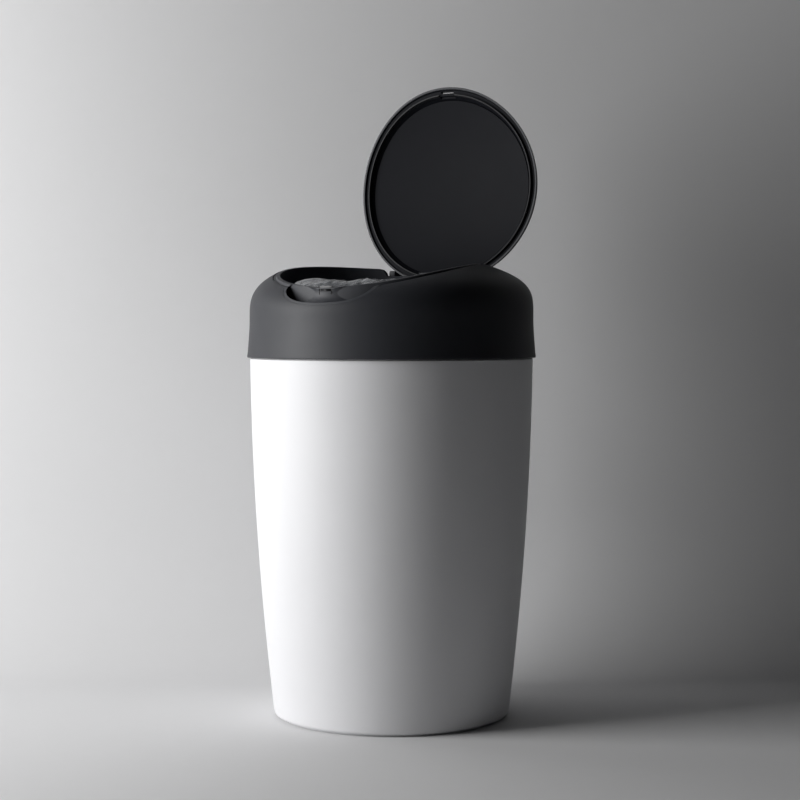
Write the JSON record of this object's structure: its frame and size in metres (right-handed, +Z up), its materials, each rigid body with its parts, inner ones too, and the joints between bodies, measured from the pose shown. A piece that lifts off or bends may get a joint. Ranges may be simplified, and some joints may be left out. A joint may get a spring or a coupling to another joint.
{
  "type": "nappy bin",
  "caption": "Nappy bin: white tub, dark lift-off head with a hinged lid, and a turning ring that holds a film cassette in the mouth.",
  "frame": {"origin": "middle of the base, on the floor", "axes": "+Z up, the finger scoop faces -Y, the hinge is at the back (+Y), +X to the right seen from the front"},
  "size_m": [0.25, 0.25, 0.5548],
  "materials": {
    "tub_white": "glossy",
    "housing_charcoal": "fine matte",
    "collar_charcoal": "satin to glossy",
    "liner_black": "glossy",
    "trim_black": "satin",
    "inner_plastic": "satin",
    "seal_rubber": "matte",
    "steel": "plain",
    "guard_white": "plain",
    "cassette": "glossy",
    "film": "thin crinkled film"
  },
  "bodies": {
    "base": {"tub": "tub_white"},
    "head": {"housing": "housing_charcoal", "collar": "collar_charcoal", "latch_catch": "trim_black", "hinge_pin_left": "steel", "hinge_pin_right": "steel", "tray": "inner_plastic", "tray_screws": "steel", "click_spring": "steel", "film_gripper": "trim_black", "cutter_guard": "guard_white", "cutter_blade": "steel"},
    "lid": {"lid_shell": "housing_charcoal", "lid_liner": "liner_black", "lid_seal": "seal_rubber"},
    "twist": {"twist_ring": "inner_plastic", "cassette_cup": "cassette", "cassette_cap": "cassette", "film_pack": "film", "film_sleeve": "film"}
  },
  "joints": [
    {"name": "head_lift", "type": "slide", "parent": "base", "child": "head", "axis": [0, 0, 1], "range_m": [0, 0.13]},
    {"name": "lid_hinge", "type": "hinge", "parent": "head", "child": "lid", "pos_m": [0, 0.0715, 0.3735], "axis": [1, 0, 0], "range_deg": [0, 101.3]},
    {"name": "twist_spin", "type": "hinge", "parent": "head", "child": "twist", "pos_m": [0, -0.02245, 0.308], "axis": [0, 0, 1], "continuous": true}
  ]
}
